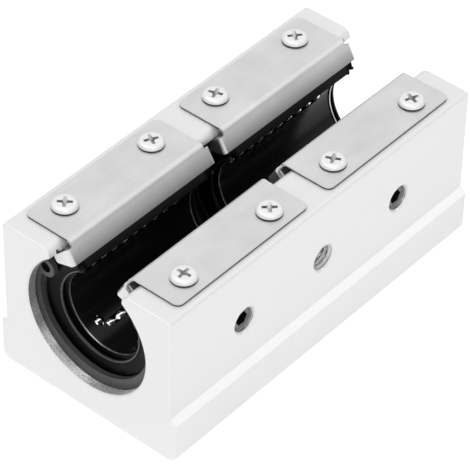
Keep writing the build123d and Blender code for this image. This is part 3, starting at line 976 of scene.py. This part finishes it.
@dataclass
class Keepers:
    """The parts that hold the bearings: circlips, keeper plates and screws."""

    sizes: BlockSizes
    shop: Workshop

    def shear(self, plate: bpy.types.Object) -> None:
        """Give the cut edges of a plate's flange and its lip their own finishes.

        The cut edges have painted shadow along their lower edge, where they sit on the housing. The
        lip, which leans towards the opening, has painted shade near its lower edge.

        Args:
            plate: the keeper plate.
        """
        s = self.sizes
        middles, normals = self.shop.face_table(plate)
        upright = np.abs(normals[:, 2]) < SQUARE_TO
        on_flange = middles[:, 2] > PLATE_TOP - s.flange_depth
        outside = np.abs(middles[:, 1]) > s.flange_start
        # Cut edges: painted shadow along their lower part.
        self.shop.zone(plate, SHEARED, upright & on_flange & outside)
        leaning = (normals[:, 2] > s.lip_turn[0]) & (normals[:, 2] < s.lip_turn[1])
        leaning &= (normals[:, 1] * middles[:, 1] < 0) & (np.abs(normals[:, 0]) < SQUARE_TO)
        # The lip gets painted shade towards its lower edge.
        self.shop.zone(plate, LIP, leaning)

    def paint_shade_in_lug_holes(self, circlip: bpy.types.Object) -> None:
        """Paint shade near black on the walls of the holes in a circlip's two lugs.

        Args:
            circlip: the circlip.
        """
        s = self.sizes
        middles, normals = self.shop.face_table(circlip)
        turn = math.radians(s.lug_angle)
        lug_y = s.lug_pitch_radius * math.sin(turn)
        lug_z = s.axis_height + s.lug_pitch_radius * math.cos(turn)
        reach = np.hypot(np.abs(middles[:, 1]) - lug_y, middles[:, 2] - lug_z)
        in_hole = reach < s.lug_hole_radius * (1 + s.wall_slack)
        self.shop.zone(circlip, SOCKET, in_hole & (np.abs(normals[:, 0]) < LOOKS_ALONG))

    def paint_shade_in_recesses(self, screws: bpy.types.Object) -> None:
        """Paint shade in the cross recesses: a darker colour on the faces near a screw's axis that lie
        below its flat top.

        Args:
            screws: the keeper screws.
        """
        s = self.sizes
        middles, _ = self.shop.face_table(screws)
        along = np.abs(np.abs(middles[:, 0])[:, None] - np.array(s.screw_places)).min(axis=1)
        reach = np.hypot(along, np.abs(middles[:, 1]) - s.screw_offset)
        low = middles[:, 2] < middles[:, 2].max() - s.cut_edge_depth
        low &= middles[:, 2] > CAD_BOX[1][2] - s.recess_reach
        self.shop.zone(screws, RECESSED, (reach < s.recess_reach) & low)

    def paint_shade_in_sockets(self, screws: bpy.types.Object) -> None:
        """Paint shade near black in the sockets of the set screws: the faces near their axes, behind their
        ends.

        Args:
            screws: the set screws.
        """
        s = self.sizes
        middles, normals = self.shop.face_table(screws)
        reach = np.hypot(np.abs(middles[:, 0]) - s.side_hole_spacing, middles[:, 2] - s.axis_height)
        behind = middles[:, 1] > middles[:, 1].min() + s.cut_edge_depth
        looks_out = normals[:, 1] < LOOKS_ALONG
        self.shop.zone(screws, SOCKET, (reach < s.socket_radius) & behind & looks_out)

    def build(self) -> None:
        """Dress them all."""
        for end in End:
            self.paint_shade_in_lug_holes(self.shop.smooth_copy(f"{end.name.lower()}_circlip", SPRING, "spring_steel"))
            for side in Side:
                plate = f"{end.name.lower()}_{side.name.lower()}_keeper_plate"
                self.shear(self.shop.smooth_copy(plate, SHEET_STEEL, "plate_steel"))
        self.paint_shade_in_recesses(self.shop.smooth_copy("keeper_screws", PLATED, "screw_steel"))
        self.paint_shade_in_sockets(self.shop.smooth_copy("set_screws", ALLOY, "set_screw_steel"))


@dataclass(frozen=True)
class Softbox:
    """One square area lamp that points at the block."""

    name: str
    place: tuple[float, float, float]
    width: float
    power: float

    def build(self, target: Vector) -> None:
        """Hang the lamp and turn it towards the block.

        Args:
            target: the point that it shines at.
        """
        lamp = bpy.data.lights.new(self.name, "AREA")
        lamp.shape = "SQUARE"
        lamp.size = self.width
        lamp.energy = self.power
        holder = bpy.data.objects.new(self.name, lamp)
        bpy.context.scene.collection.objects.link(holder)
        holder.location = self.place
        aim = (target - Vector(self.place)).to_track_quat("-Z", "Y")
        holder.rotation_euler = aim.to_euler()


@dataclass(frozen=True)
class Studio:
    """The floor, the sky, the lamps and the camera."""

    camera_place: tuple[float, float, float] = (-0.366795, -0.303773, 0.443094)
    camera_right: tuple[float, float, float] = (0.65058794, -0.75925707, 0.01624883)
    camera_up: tuple[float, float, float] = (0.49922684, 0.44370225, 0.74424517)
    focal_pixels: float = 3025.485
    sensor_width: float = 36.0
    clip_start: float = 0.01
    floor_size: float = 6.0
    floor_color: float = 0.86
    floor_glow: float = 0.55
    floor_roughness: float = 0.9
    floor_specular: float = 0.1
    sky_strength: float = 0.64
    horizon_level: float = 0.1
    horizon_top: float = 0.28
    aim: tuple[float, float, float] = (0.0, 0.0, 0.02)
    lamps: tuple[Softbox, ...] = (
        Softbox("key_softbox", (-0.56, -0.76, 0.50), 0.5, 1.55),
        Softbox("overhead_softbox", (-0.35, 0.25, 0.95), 0.6, 1.9),
        Softbox("bend_softbox", (0.55, -0.20, 0.75), 0.8, 0.4),
    )

    def build(self) -> None:
        """Set the scene round the block."""
        self._floor()
        self._sky()
        for lamp in self.lamps:
            lamp.build(Vector(self.aim))
        self._camera()
        bpy.context.scene.view_settings.view_transform = "Standard"

    def _floor(self) -> None:
        """Lay a large pale floor that looks white beside the block and keeps its shadow."""
        half = self.floor_size / 2
        corners = [(-half, -half, 0), (half, -half, 0), (half, half, 0), (-half, half, 0)]
        mesh = bpy.data.meshes.new("floor")
        mesh.from_pydata(corners, [], [(0, 1, 2, 3)])
        floor = bpy.data.objects.new("floor", mesh)
        bpy.context.scene.collection.objects.link(floor)
        paint = bpy.data.materials.new("pale_floor")
        paint.use_nodes = True
        nodes, links = paint.node_tree.nodes, paint.node_tree.links
        shader = nodes["Principled BSDF"]
        shader.inputs["Base Color"].default_value = (self.floor_color,) * 3 + (1.0,)
        shader.inputs["Roughness"].default_value = self.floor_roughness
        shader.inputs["Specular IOR Level"].default_value = self.floor_specular
        shader.inputs["Emission Color"].default_value = (1.0, 1.0, 1.0, 1.0)
        paths = nodes.new("ShaderNodeLightPath")
        glow = add_math(nodes, "MULTIPLY", None, self.floor_glow)
        seen = add_math(nodes, "MAXIMUM")
        links.new(paths.outputs["Is Camera Ray"], seen.inputs[0])
        links.new(paths.outputs["Is Glossy Ray"], seen.inputs[1])
        links.new(seen.outputs[0], glow.inputs[0])
        links.new(glow.outputs[0], shader.inputs["Emission Strength"])
        mesh.materials.append(paint)

    def _sky(self) -> None:
        """Light the block evenly, and show white behind it and in its reflections."""
        world = bpy.data.worlds.new("studio_sky")
        bpy.context.scene.world = world
        world.use_nodes = True
        nodes, links = world.node_tree.nodes, world.node_tree.links
        background = nodes["Background"]
        background.inputs["Color"].default_value = (1.0, 1.0, 1.0, 1.0)
        paths = nodes.new("ShaderNodeLightPath")
        direction = nodes.new("ShaderNodeSeparateXYZ")
        height = nodes.new("ShaderNodeMapRange")
        height.inputs["From Max"].default_value = self.horizon_top
        height.inputs["To Min"].default_value = self.horizon_level
        height.inputs["To Max"].default_value = 1.0
        mirrored = nodes.new("ShaderNodeMix")
        mirrored.inputs["A"].default_value = self.sky_strength
        seen = nodes.new("ShaderNodeMix")
        seen.inputs["B"].default_value = 1.0
        links.new(nodes.new("ShaderNodeTexCoord").outputs["Generated"], direction.inputs[0])
        links.new(direction.outputs["Z"], height.inputs["Value"])
        links.new(paths.outputs["Is Glossy Ray"], mirrored.inputs["Factor"])
        links.new(height.outputs["Result"], mirrored.inputs["B"])
        links.new(paths.outputs["Is Camera Ray"], seen.inputs["Factor"])
        links.new(mirrored.outputs["Result"], seen.inputs["A"])
        links.new(seen.outputs["Result"], background.inputs["Strength"])

    def _camera(self) -> None:
        """Place the camera of the photograph, with its long lens."""
        lens = bpy.data.cameras.new("photo_camera")
        lens.sensor_width = self.sensor_width
        lens.lens = self.focal_pixels / PHOTO_PIXELS * self.sensor_width
        lens.clip_start = self.clip_start
        camera = bpy.data.objects.new("photo_camera", lens)
        bpy.context.scene.collection.objects.link(camera)
        right, up = Vector(self.camera_right), Vector(self.camera_up)
        turn = Matrix((right, up, right.cross(up))).transposed()
        camera.matrix_world = Matrix.Translation(self.camera_place) @ turn.to_4x4()
        bpy.context.scene.camera = camera


def main() -> None:
    """Build every sub-assembly in order, then the studio round them."""
    logging.basicConfig(level=logging.INFO, format="%(name)s: %(message)s")
    sizes = BlockSizes()
    shop = Workshop()
    Housing(sizes, shop).build()
    for end in End:
        Bearing(end, sizes, shop).build()
    Keepers(sizes, shop).build()
    Studio().build()
    LOG.info("%d pieces dressed", len(shop.pieces))


if __name__ == "__main__":
    main()
